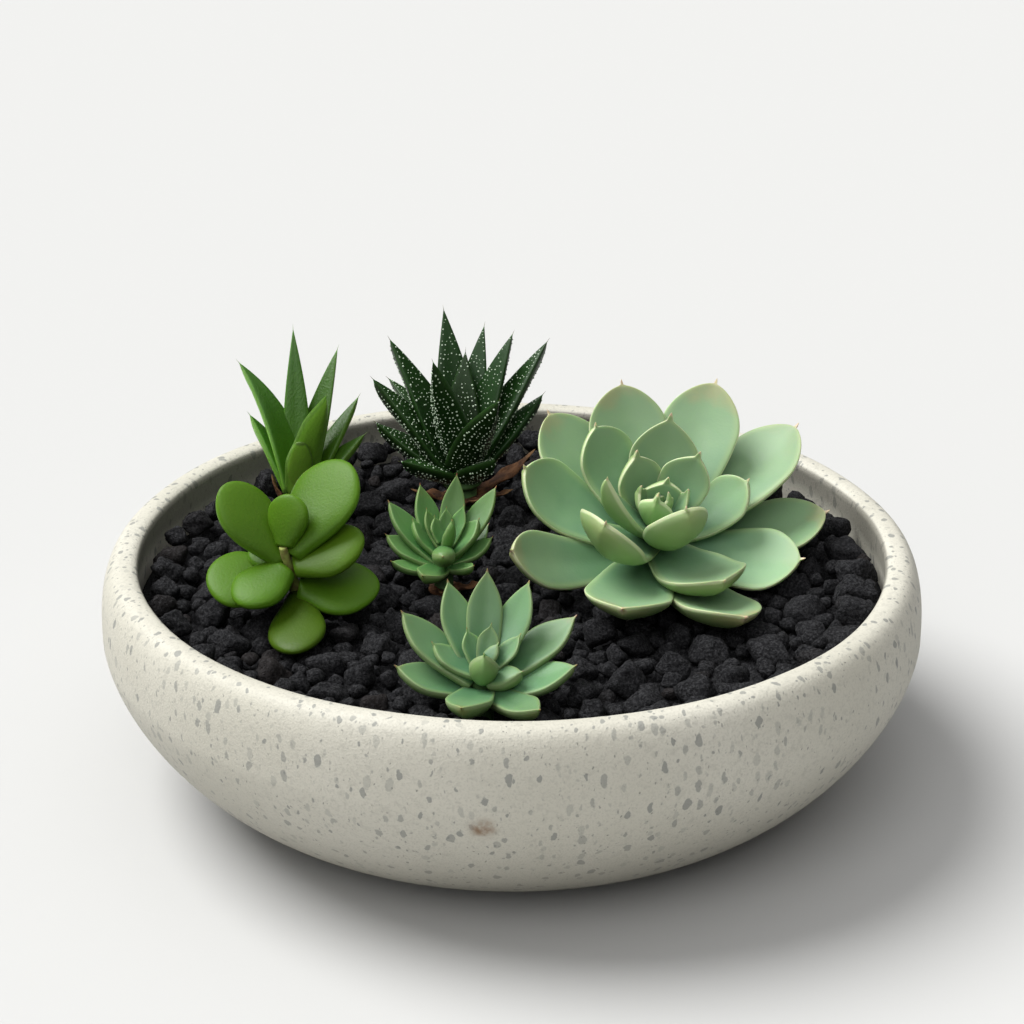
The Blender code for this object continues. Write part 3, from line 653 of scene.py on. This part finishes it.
def cast_stone_material():
    """Cast stone: pale cement with grey chips, cast in a mould and rubbed smooth, so it is satin."""
    mat, tree, shader, place = new_material("rubbed_cast_stone", 0.62, 1.5)
    # Chips have jagged edges, and stand on edge as they settled in the mould, taller than wide
    ragged = add(tree, "TexNoise", {"Vector": place, "Scale": 1000 / 3.846, "Detail": 3.0})["Color"]
    shift = add(tree, "VectorMath", {0: ragged, 1: (0.5, 0.5, 0.5)}, operation="SUBTRACT")[0]
    moved = add(tree, "VectorMath", {0: shift, 1: (0.0032, 0.0032, 0.0032), 2: place},
                operation="MULTIPLY_ADD")[0]
    upended = add(tree, "VectorMath", {0: moved, 1: (1.0, 1.0, 0.52)}, operation="MULTIPLY")[0]
    # Chips up to 3 mm wide, chips up to 1.4 mm wide, and specks
    large = chips(tree, upended, cell=3.8, share=0.92, smallest=0.7, largest=1.5, softness=0.3)
    small = chips(tree, upended, cell=2.4, share=0.60, smallest=0.3, largest=0.7, softness=0.3)
    specks = chips(tree, upended, cell=1.4, share=0.60, smallest=0.1, largest=0.4, softness=0.2)
    pits = chips(tree, place, cell=4, share=0.3, smallest=0.1, largest=0.4, softness=0.3)
    # Clouds of 62.5 mm and mottles of 2.4 mm. The cement's grain is finer than 0.77 mm, and is
    # drawn that coarse so that it shows
    clouds, mottle, grain = (
        add(tree, "TexNoise", {"Vector": place, "Scale": 1000 / size, "Detail": detail})["Fac"]
        for size, detail in ((62.5, 4.0), (2.381, 3.0), (0.7692, 3.0)))
    height = add(tree, "SeparateXYZ", {"Vector": place})["Z"]
    flat_place = add(tree, "VectorMath", {0: place, 1: (1.0, 1.0, 0.0)}, operation="MULTIPLY")[0]
    radius = add(tree, "VectorMath", {0: flat_place}, operation="LENGTH")["Value"]
    from_stain = add(tree, "VectorMath", {0: place, 1: (-0.0092, -0.1493, 0.053)},
                     operation="DISTANCE")["Value"]
    colour = coated(
        tree, "C6C3B7",
        ("BEBBAE", (clouds, 0.3, 0.7)),
        ("A8A69B", (grain, 0.45, 0.75, 0.0, 0.55)),
        ("9C9A90", (mottle, 0.5, 0.75, 0.0, 0.30)),
        ("7B7D79", large, 0.78),
        ("7B7D79", small, 0.78),
        ("72736D", specks, 0.78),
        # Painted shade: the wall is darker towards the foot, where the floor shades it under the belly
        ("807C70", (height, 0.002, 0.060, 0.62, 0.0)),
        # Painted shade: the inside of the wall is darker, for the shadow that falls into the bowl
        ("55524A", (radius, 0.1360, 0.1368, 0.6, 0.0), (height, 0.050, 0.060)),
        # One rusty water stain on the front
        ("7A5C3E", (from_stain, 0.0, 0.0065, 1.4, 0.0), (ragged, 0.3, 0.7), 0.9),
    )
    relief = add(tree, "Math", {0: strength(tree, grain, 0.5), 1: pits}, operation="SUBTRACT")[0]
    finish(tree, shader, colour, relief, 0.8, 0.0005)
    return mat


def paper_material():
    """Studio paper: pale, even and matt."""
    mat, _, shader, _ = new_material("studio_paper", 0.9, 1.4)
    shader.inputs["Base Color"].default_value = linear("BCBCBB")
    shader.inputs["Specular IOR Level"].default_value = 0.0
    return mat


def superellipse_wall(foot_radius, wide_radius, foot_z):
    """A swelling wall from foot to belly, a quarter of a superellipse."""
    angle = 0.5 * math.pi * np.linspace(0, 1, WALL_STEPS)
    power = 2 / LOWER_CURVE
    radius = foot_radius + (wide_radius - foot_radius) * np.sin(angle) ** power
    return np.stack([radius, BELLY_Z - (BELLY_Z - foot_z) * np.cos(angle) ** power], -1)


def make_bowl(material):
    """The bowl: a wall that swells to a belly, a shoulder, a rounded lip, and the same curve inside.

    Shoulder and lip are quarters of superellipses. The hand-rubbed rim and belly wander by a
    few tenths of a millimetre, in sine waves round the bowl.
    """
    outer = superellipse_wall(FOOT_RADIUS, BOWL_RADIUS, 0.0)
    turn = 0.5 * math.pi * np.linspace(0, 1, LIP_STEPS)[1:, None]
    shoulder = np.hstack([
        RIM_RADIUS + (BOWL_RADIUS - RIM_RADIUS) * np.cos(turn) ** (2 / SHOULDER_CURVE),
        BELLY_Z + (RIM_TOP - BELLY_Z) * np.sin(turn) ** (2 / SHOULDER_CURVE),
    ])
    lip = np.hstack([
        RIM_RADIUS - (RIM_RADIUS - LIP_INNER_RADIUS) * np.sin(turn) ** (2 / LIP_CURVE),
        LIP_SIDE_Z + (RIM_TOP - LIP_SIDE_Z) * np.maximum(np.cos(turn), 0) ** (2 / LIP_CURVE),
    ])
    inside = superellipse_wall(FLOOR_RADIUS, INNER_RADIUS, FLOOR_Z)[::-1]
    profile = np.concatenate([outer, shoulder, lip, inside])
    points, faces = turned_surface(profile, SIDES, (0, 0, 0), UPRIGHT)
    turn = np.arctan2(points[:, 1], points[:, 0])
    uneven = sum(high * np.sin(count * turn + begin) for high, count, begin in RIM_WAVES)
    up = np.clip((points[:, 2] - BELLY_Z) / (LIP_SIDE_Z - BELLY_Z), 0, 1)
    points[:, 2] += up * uneven
    drawn_in = BELLY_WAVE * (1 + np.sin(5 * turn + 1.0)) * np.clip(points[:, 2] / BELLY_Z, 0, 1)
    points[:, :2] *= 1 - drawn_in[:, None]
    bowl = add_piece("speckled_bowl", points, faces, material)
    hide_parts("bowl")


def make_stem(plant, material):
    """A plant's upright stem in the gravel, and the leaning core that its leaves grow from."""
    x, y, z = plant.place
    profile = [(plant.stem, STEM_BOTTOM), (plant.stem, z + STEM_LAP)]
    points, faces = turned_surface(profile, STEM_SIDES, (x, y, 0), UPRIGHT)
    core_radius, core_height = plant.core[0] * CORE_SHRINK, plant.core[1]
    height = np.linspace(-CORE_DEPTH, core_height, 40)
    radii = [core_radius / 2, core_radius, ROOT_REACH * core_radius]
    radius = np.interp(height, [-CORE_DEPTH, 0.0, core_height], radii)
    # A ring of old leaf bases at each leaf's height
    for leaf in plant.leaves:
        radius += 0.05 * core_radius * np.exp(-((height - leaf.rise) / LEAF_SCAR) ** 2)
    up = leaning_frame(plant.lean)[2]
    profile = np.stack([radius, height], -1)
    core, core_faces = turned_surface(profile, STEM_SIDES, plant.place, up, len(points))
    points = np.concatenate([points, core])
    stem = add_piece(plant.name + "_stem", points, faces + core_faces, material)
    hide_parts(plant.name)


def make_plant(plant, material, seed, stations, around):
    """A plant's leaves as one piece."""
    habits = leaf_habits(seed, len(plant.leaves))
    points, faces, marks = grow_leaves(plant, plant.form, plant.leaves, habits, stations, around)
    leaves = add_piece(plant.name + "_leaves", points, faces, material, marks)
    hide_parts(plant.name)


def dry_foot(dry):
    """The plant that withered leaves lie round, as an upright one that is rooted on the gravel."""
    x, y, _ = dry.plant.place
    return dry.plant._replace(place=(x, y, GRAVEL_BED_TOP + DRY_ROOT_HEIGHT), lean=(0, 0))


def make_dry_leaves(dry, material, seed):
    """Withered leaves on a collar round a plant's stem, lying on the gravel."""
    habits = leaf_habits(seed, len(dry.leaves), 3.0)
    points, faces, marks = grow_leaves(dry_foot(dry), WITHERED, dry.leaves, habits, 30, 20)
    x, y, _ = dry.plant.place
    hole = dry.plant.stem + COLLAR_GAP
    profile = [(hole, COLLAR_BOTTOM), (hole + COLLAR_FOOT, COLLAR_BOTTOM),
               (hole + COLLAR_EDGE, COLLAR_TOP), (hole, COLLAR_TOP)]
    collar, collar_faces = turned_surface(profile, STEM_SIDES, (x, y, 0), UPRIGHT, len(points))
    points = np.concatenate([points, collar])
    marks = {key: np.concatenate([value, np.zeros(len(collar))]) for key, value in marks.items()}
    piece = add_piece(dry.name + "_curled", points, faces + collar_faces, material, marks)
    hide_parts(dry.name)


def wart_places(rng, leaf, shape):
    """Where a leaf's warts are, along it and round it, and their radii.

    They stand in cross rows, fewer and smaller on the upper face than on the lower one, and
    larger towards the margins and away from the leaf's root.
    """
    along, angle, size = [], [], []
    for row in np.arange(0.14 * leaf.length, 0.95 * leaf.length, WART_ROW_STEP) / leaf.length:
        width = float(half_widths(shape, leaf, np.array([row]))[0])
        count = max(int(2 * width / WART_STEP), 1)
        place = (np.arange(count) + 0.5) / count * 1.9 - 0.95 + rng.normal(0, 0.03, count)
        place = np.clip(place, -0.97, 0.97)
        outwards = 0.5 + 0.5 * np.clip((row - 0.1) / 0.4, 0, 1)
        for face, share, smallest in ((1, 0.6, 0.00023), (-1, 0.85, 0.00031)):
            kept = place[rng.random(count) < share]
            along.append(row + rng.normal(0, 0.0003, len(kept)) / leaf.length)
            angle.append(face * np.arccos(kept))
            grown = smallest + 0.00012 * rng.random(len(kept)) + 0.00010 * np.abs(kept) ** 3
            size.append(grown * rng.uniform(0.6, 1.25, len(kept)) * outwards)
    return np.clip(np.concatenate(along), 0, 0.98), np.concatenate(angle), np.concatenate(size)


def make_warts(plant, material, seed):
    """White warts on both faces of each leaf: low domes of a ring, a smaller ring and a top."""
    rng = np.random.default_rng(seed)
    habits = leaf_habits(seed, len(plant.leaves))
    centres, normals, sizes = [], [], []
    for number, (leaf, habit) in enumerate(zip(plant.leaves, habits)):
        shape = leaf.form or plant.form
        rise = number * ROOT_STEP
        along, angle, size = wart_places(rng, leaf, shape)
        here = leaf_skin(plant, shape, leaf, rise, habit, along, angle)
        beside = leaf_skin(plant, shape, leaf, rise, habit, along, angle + 0.02) - here
        ahead = leaf_skin(plant, shape, leaf, rise, habit, along + 0.002, angle) - here
        normal = np.cross(beside, ahead)
        centres.append(here)
        normals.append(normal / np.linalg.norm(normal, axis=1)[:, None])
        sizes.append(size)
    centre, normal, size = (np.concatenate(v) for v in (centres, normals, sizes))
    side = np.cross(normal, [0.3, 0.5, 0.81])
    side /= np.linalg.norm(side, axis=1)[:, None]
    other = np.cross(normal, side)
    sides = 6
    turn = 2 * math.pi * np.arange(sides) / sides
    circle = side[:, None] * np.cos(turn)[:, None] + other[:, None] * np.sin(turn)[:, None]
    low = centre[:, None] + (circle - 0.25 * normal[:, None]) * size[:, None, None]
    high = centre[:, None] + (0.72 * circle + 0.5 * normal[:, None]) * size[:, None, None]
    top = centre[:, None] + 0.75 * normal[:, None] * size[:, None, None]
    points = np.concatenate([low, high, top], axis=1).reshape(-1, 3)
    parts = [grid_quads(2, sides), pole_triangles(sides, sides, 2 * sides, True)]
    faces = copied_faces(parts, 2 * sides + 1, len(centre))
    warts = add_piece(plant.name + "_warts", points, faces, material)


def plant_surfaces():
    """A rough copy of every plant, to keep stones clear of it.

    Its height is stretched as the stones are flattened, so that a stone becomes a ball.
    """
    groups = [(plant, plant.form, plant.leaves) for plant in PLANTS]
    groups += [(dry_foot(dry), WITHERED, dry.leaves) for dry in DRY_LEAVES]
    points, polygons = [], []
    start = 0
    around = 14
    for plant, form, leaves in groups:
        x, y, z = plant.place
        still = [Habit(0, 0, 0, 0, 0)] * len(leaves)
        grown, parts, _ = grow_leaves(plant, form, leaves, still, around, around)
        profile = [(plant.stem, ROUGH_STEM_BOTTOM), (plant.core[0], z)]
        stem, stem_parts = turned_surface(profile, around, (x, y, 0), UPRIGHT, len(grown))
        points.append(np.concatenate([grown, stem]))
        for part in parts + stem_parts:
            polygons += (part + start).tolist()
        start += len(grown) + len(stem)
    return BVHTree.FromPolygons((np.concatenate(points) / (1, 1, FLATNESS)).tolist(), polygons)


def scatter(rng, sizes, taken, closeness, tops, plants, inner=0.0):
    """Centres and radii of stones thrown in one by one, each in the tightest place with room for it.

    Two stones may be as near as closeness times the sum of their radii. The share inner of the
    fill's radius is left free. The gravel is banked a little against the wall.
    """
    found = []
    for size in sizes:
        reach = WALL_REACH - STONE_INSET * size
        spread = np.sqrt(inner ** 2 + (1 - inner ** 2) * rng.random(THROWS)) * reach
        turn = rng.random(THROWS) * 2 * math.pi
        throws = np.stack([spread * np.cos(turn), spread * np.sin(turn)], -1)
        room = np.zeros(THROWS)
        if taken:
            known = np.array(taken)
            apart = np.linalg.norm(throws[:, None] - known[None, :, :2], axis=2)
            room = (apart - closeness * (known[:, 3] + size)).min(axis=1)
        for index in np.argsort(np.where(room >= 0, room, 1.0))[:TIGHTEST]:
            if room[index] < 0:
                break
            x, y = throws[index]
            bank = min(max((math.hypot(x, y) - BANK_START) / BANK_WIDTH, 0), 1)
            top = rng.uniform(*tops) + WALL_BANK * bank
            best = None
            for sink in SINK_STEPS:
                z = top - FLATNESS * size - sink
                place = Vector((x, y, z / FLATNESS))
                nearest, normal, _, distance = plants.find_nearest(place)
                free = distance - STONE_GAP
                if (place - nearest).dot(normal) < 0 or free < LEAST_GROWN * size:
                    continue
                grown = min(size, free)
                if best is None or grown > best[3] * 1.05:
                    best = (x, y, z, grown)
            if best:
                taken.append(best)
                found.append(best)
                break
    return found


def lava_stones(name, places, material, rings, around, seed):
    """Lava stones: each is a block with rounded corners, roughened by waves.

    A ray d from the middle meets a plane of normal n at a distance h / (n.d), and the stone's
    radius there is the sum of (n.d / h)^p over its planes, to the power -1/p.
    """
    rng = np.random.default_rng(seed)
    theta = math.pi * (np.arange(rings) + 1) / (rings + 1)
    phi = 2 * math.pi * np.arange(around) / around
    ring = np.stack([np.sin(theta)[:, None] * np.cos(phi), np.sin(theta)[:, None] * np.sin(phi),
                     -np.cos(theta)[:, None] + 0 * phi], -1).reshape(-1, 3)
    rays = np.concatenate([ring, [[0, 0, -1], [0, 0, 1]]])
    places = np.array(places)
    count = len(places)
    # Six planes of a turned cube, so that every ray meets one, and six thrown in
    toward = np.linalg.qr(rng.normal(size=(count, 3, 3)))[0]
    thrown = rng.normal(size=(count, 6, 3))
    thrown /= np.linalg.norm(thrown, axis=2)[:, :, None]
    toward = np.concatenate([toward, -toward, thrown], axis=1)
    away = rng.uniform(0.62, 1.0, (count, 12, 1))
    facing = np.maximum(np.einsum("nlk,vk->nlv", toward, rays), 0) / away
    radius = (facing ** ROUNDING).sum(axis=1) ** (-1 / ROUNDING)
    for waves, depth in STONE_WAVES:
        push = rng.normal(size=(count, 3, 3)) * waves
        start = rng.uniform(0, 2 * math.pi, (count, 3, 1))
        radius += depth * np.sin(np.einsum("nwk,vk->nwv", push, rays) + start).prod(axis=1) * 1.6
    radius /= radius.max(axis=1)[:, None]
    shape = rays[None] * radius[:, :, None]
    stretch = np.stack([np.ones(count), rng.uniform(0.72, 1.0, count), np.full(count, FLATNESS)], -1)
    shape = shape * stretch[:, None]
    turn = rng.uniform(0, 2 * math.pi, count)[:, None]
    x = shape[..., 0] * np.cos(turn) - shape[..., 1] * np.sin(turn)
    y = shape[..., 0] * np.sin(turn) + shape[..., 1] * np.cos(turn)
    points = np.stack([x, y, shape[..., 2]], -1) * places[:, None, 3:4] + places[:, None, :3]
    size = len(rays)
    parts = [grid_quads(rings, around), pole_triangles(0, around, size - 2, False),
             pole_triangles((rings - 1) * around, around, size - 1, True)]
    faces = copied_faces(parts, size, count)
    tone = np.repeat(rng.random(count), size)
    stones = add_piece(name, points.reshape(-1, 3), faces, material, {"tone": tone})
    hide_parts("lava_gravel")


def make_grit_bed(material):
    """The fine gravel under the stones: a turned layer, its top crumbled by waves of some millimetres."""
    profile = [(0.001, GRAVEL_BOTTOM), (GRIT_BOTTOM_RADIUS, GRAVEL_BOTTOM), (GRIT_TOP_RADIUS, GRIT_TOP)]
    profile += [(radius, GRIT_TOP) for radius in np.linspace(WALL_REACH, 0.001, 110)]
    points, faces = turned_surface(profile, 260, (0, 0, 0), UPRIGHT)
    x, y = points[:, 0], points[:, 1]
    rng = np.random.default_rng(5)
    lumps = np.zeros(len(points))
    for _ in range(GRIT_WAVES):
        push = rng.normal(0, GRIT_RADIANS_PER_METRE, 2)
        lumps += np.sin(push[0] * x + push[1] * y + rng.uniform(0, 6.28))
    top = (points[:, 2] > GRIT_TOP - 0.0001) & (np.hypot(x, y) < WALL_REACH)
    points[top, 2] += GRIT_LUMP * lumps[top]
    bed = add_piece("grit_bed", points, faces, material, {"tone": np.full(len(points), 0.4)})
    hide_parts("lava_gravel")


def make_floor(material):
    """A wide disc of studio paper under the bowl."""
    radius, drop, corners = 6.0, 0.0001, 96
    turn = 2 * math.pi * np.arange(corners) / corners
    ring = np.stack([radius * np.cos(turn), radius * np.sin(turn), np.full(corners, -drop)], -1)
    mesh = bpy.data.meshes.new("paper_floor")
    mesh.from_pydata(ring.tolist(), [], [list(range(corners))])
    mesh.materials.append(material)
    floor = bpy.data.objects.new("paper_floor", mesh)
    bpy.context.scene.collection.objects.link(floor)


def add_sun(name, azimuth, elevation, spread, power, colour=(1.0, 1.0, 1.0)):
    """A soft light from far away: azimuth 0 is the right and 90 the back, spread its width in degrees."""
    light = bpy.data.lights.new(name, "SUN")
    light.angle = math.radians(spread)
    light.energy = power
    light.color = colour
    lamp = bpy.data.objects.new(name, light)
    a, e = math.radians(azimuth), math.radians(elevation)
    toward = Vector((math.cos(e) * math.cos(a), math.cos(e) * math.sin(a), math.sin(e)))
    lamp.rotation_euler = toward.to_track_quat("Z", "Y").to_euler()
    bpy.context.scene.collection.objects.link(lamp)


def add_camera():
    """The photograph's view, from the front and above, of a point over the bowl's middle."""
    data = bpy.data.cameras.new("view")
    data.sensor_width = 36
    data.lens = LENS
    camera = bpy.data.objects.new("view", data)
    high = math.radians(VIEW_DEGREES)
    back = VIEW_DISTANCE * math.cos(high)
    camera.location = (0, -back, VIEW_CENTRE_Z + VIEW_DISTANCE * math.sin(high))
    camera.rotation_euler = (math.pi / 2 - high, 0, 0)
    bpy.context.scene.collection.objects.link(camera)
    bpy.context.scene.camera = camera


def set_light():
    """A broad window-like light from the left, a softer one from the front left and a wide one overhead."""
    add_sun("window_light", azimuth=161, elevation=56, spread=38, power=4.15, colour=(1.0, 1.0, 0.99))
    add_sun("front_light", azimuth=-108, elevation=38, spread=50, power=0.97)
    add_sun("ceiling_light", azimuth=0, elevation=90, spread=100, power=1.52)
    world = bpy.data.worlds.new("room")
    bpy.context.scene.world = world
    world.use_nodes = True
    world.node_tree.nodes["Background"].inputs["Color"].default_value = (0.0, 0.0, 0.0, 1.0)
    bpy.context.scene.view_settings.view_transform = "Standard"


add_camera()
set_light()
make_floor(paper_material())

make_bowl(cast_stone_material())
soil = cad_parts["potting_soil"]
soil.data.materials.clear()
soil.data.materials.append(soil_material())

green_stem = stem_material("young_green_stem", "40602F", "2E4822")
woody_stem = stem_material("woody_jade_stem", "8E984C", "7A7040")
for plant in PLANTS:
    make_stem(plant, woody_stem if plant is JADE_PLANT else green_stem)

echeveria_skin = leaf_material("waxy_echeveria", Skin(
    face="82A27A", deep="648C69", under="8CAC6A", band="94AC78", rim="C8D0A6", tip="AA9A70",
    point="CDB89A", roughness=0.50, band_width=3.4, rim_width=0.42, rim_share=0.75,
    tip_start=0.83))
# Its underside colour is partly its own paler underside and partly painted light, lightened where it faces
# away from the lamps
front_skin = leaf_material("waxy_pale_rosette", Skin(
    face="678C60", deep="4A7350", under="769A5C", band="76905A", rim="98A67C", tip="87824E",
    point="8E7454", roughness=0.48, band_width=1.6, rim_width=0.35, rim_share=0.45,
    tip_start=0.86))
centre_skin = leaf_material("satin_green_rosette", Skin(
    face="5C834A", deep="42703A", under="608A42", band="6B8D4F", rim="8EA06E", tip="7A7A44",
    point="9A5E4C", roughness=0.45, band_width=1.0, rim_width=0.30, rim_share=0.45,
    tip_start=0.86))
haworthia_skin = leaf_material("dark_haworthia", Skin(
    face="1A3812", deep="122A0C", under="16300E", band="1E3C14", rim="28461C", tip="2C3E1C",
    point="5A5238", roughness=0.40, band_width=0.6, rim_width=0.18, rim_share=0.40,
    tip_start=0.90, shine=0.3, pebbling=0.35))
# Its underside colour is partly its own paler underside and partly painted light, lightened where it faces
# away from the lamps
aloe_skin = leaf_material("satin_aloe", Skin(
    face="375E18", deep="3C640E", under="80B83C", band="4D7A27", rim="6A8A3C", tip="446224",
    point="5A7A34", roughness=0.42, band_width=0.7, rim_width=0.22, rim_share=0.35,
    tip_start=0.92, shine=0.4, pebbling=1.0))
# The jade's lowest leaves are darkened by painted shade, for the shadow of its upper leaves
jade_skin = leaf_material("glossy_jade", Skin(
    face="4B6E14", deep="40600E", under="456710", band="517818", rim="6A902E", tip="4B6E14",
    point="4B6E14", roughness=0.44, band_width=0.6, rim_width=0.12, rim_share=0.30,
    tip_start=0.99, shine=0.2, pebbling=0.5, aging=0.35))

make_plant(LARGE_ECHEVERIA, echeveria_skin, seed=11, stations=44, around=36)
make_plant(FRONT_ROSETTE, front_skin, seed=12, stations=34, around=28)
make_plant(CENTRE_ROSETTE, centre_skin, seed=13, stations=34, around=28)
make_plant(DOTTED_HAWORTHIA, haworthia_skin, seed=14, stations=40, around=28)
make_plant(SPIKY_ALOE, aloe_skin, seed=15, stations=40, around=28)
make_plant(JADE_PLANT, jade_skin, seed=16, stations=40, around=36)
# The same seed as the leaves' own, so that the warts lie on them
make_warts(DOTTED_HAWORTHIA, wart_material(), seed=14)

withered = dry_leaf_material()
for number, dry in enumerate(DRY_LEAVES):
    make_dry_leaves(dry, withered, 30 + number)

# Stones by radius, the largest of a kind first, how close they may come, and how high they top
lava = lava_material()
make_grit_bed(lava)
rng = np.random.default_rng(21)
plants = plant_surfaces()
taken = []
edge = scatter(rng, np.linspace(0.0100, 0.0060, 90), taken, 0.88, (0.0755, 0.0785), plants, inner=0.985)
large = scatter(rng, np.linspace(0.0112, 0.0082, 100), taken, 0.93, (0.0760, 0.0790), plants)
middle = scatter(rng, np.linspace(0.0080, 0.0054, 220), taken, 0.88, (0.0735, 0.0775), plants)
small = scatter(rng, np.linspace(0.0056, 0.0034, 560), taken, 0.70, (0.0705, 0.0740), plants)
lava_stones("large_lava_stones", edge + large, lava, rings=19, around=30, seed=1)
lava_stones("middle_lava_stones", middle, lava, rings=13, around=20, seed=2)
lava_stones("small_lava_stones", small, lava, rings=7, around=10, seed=3)
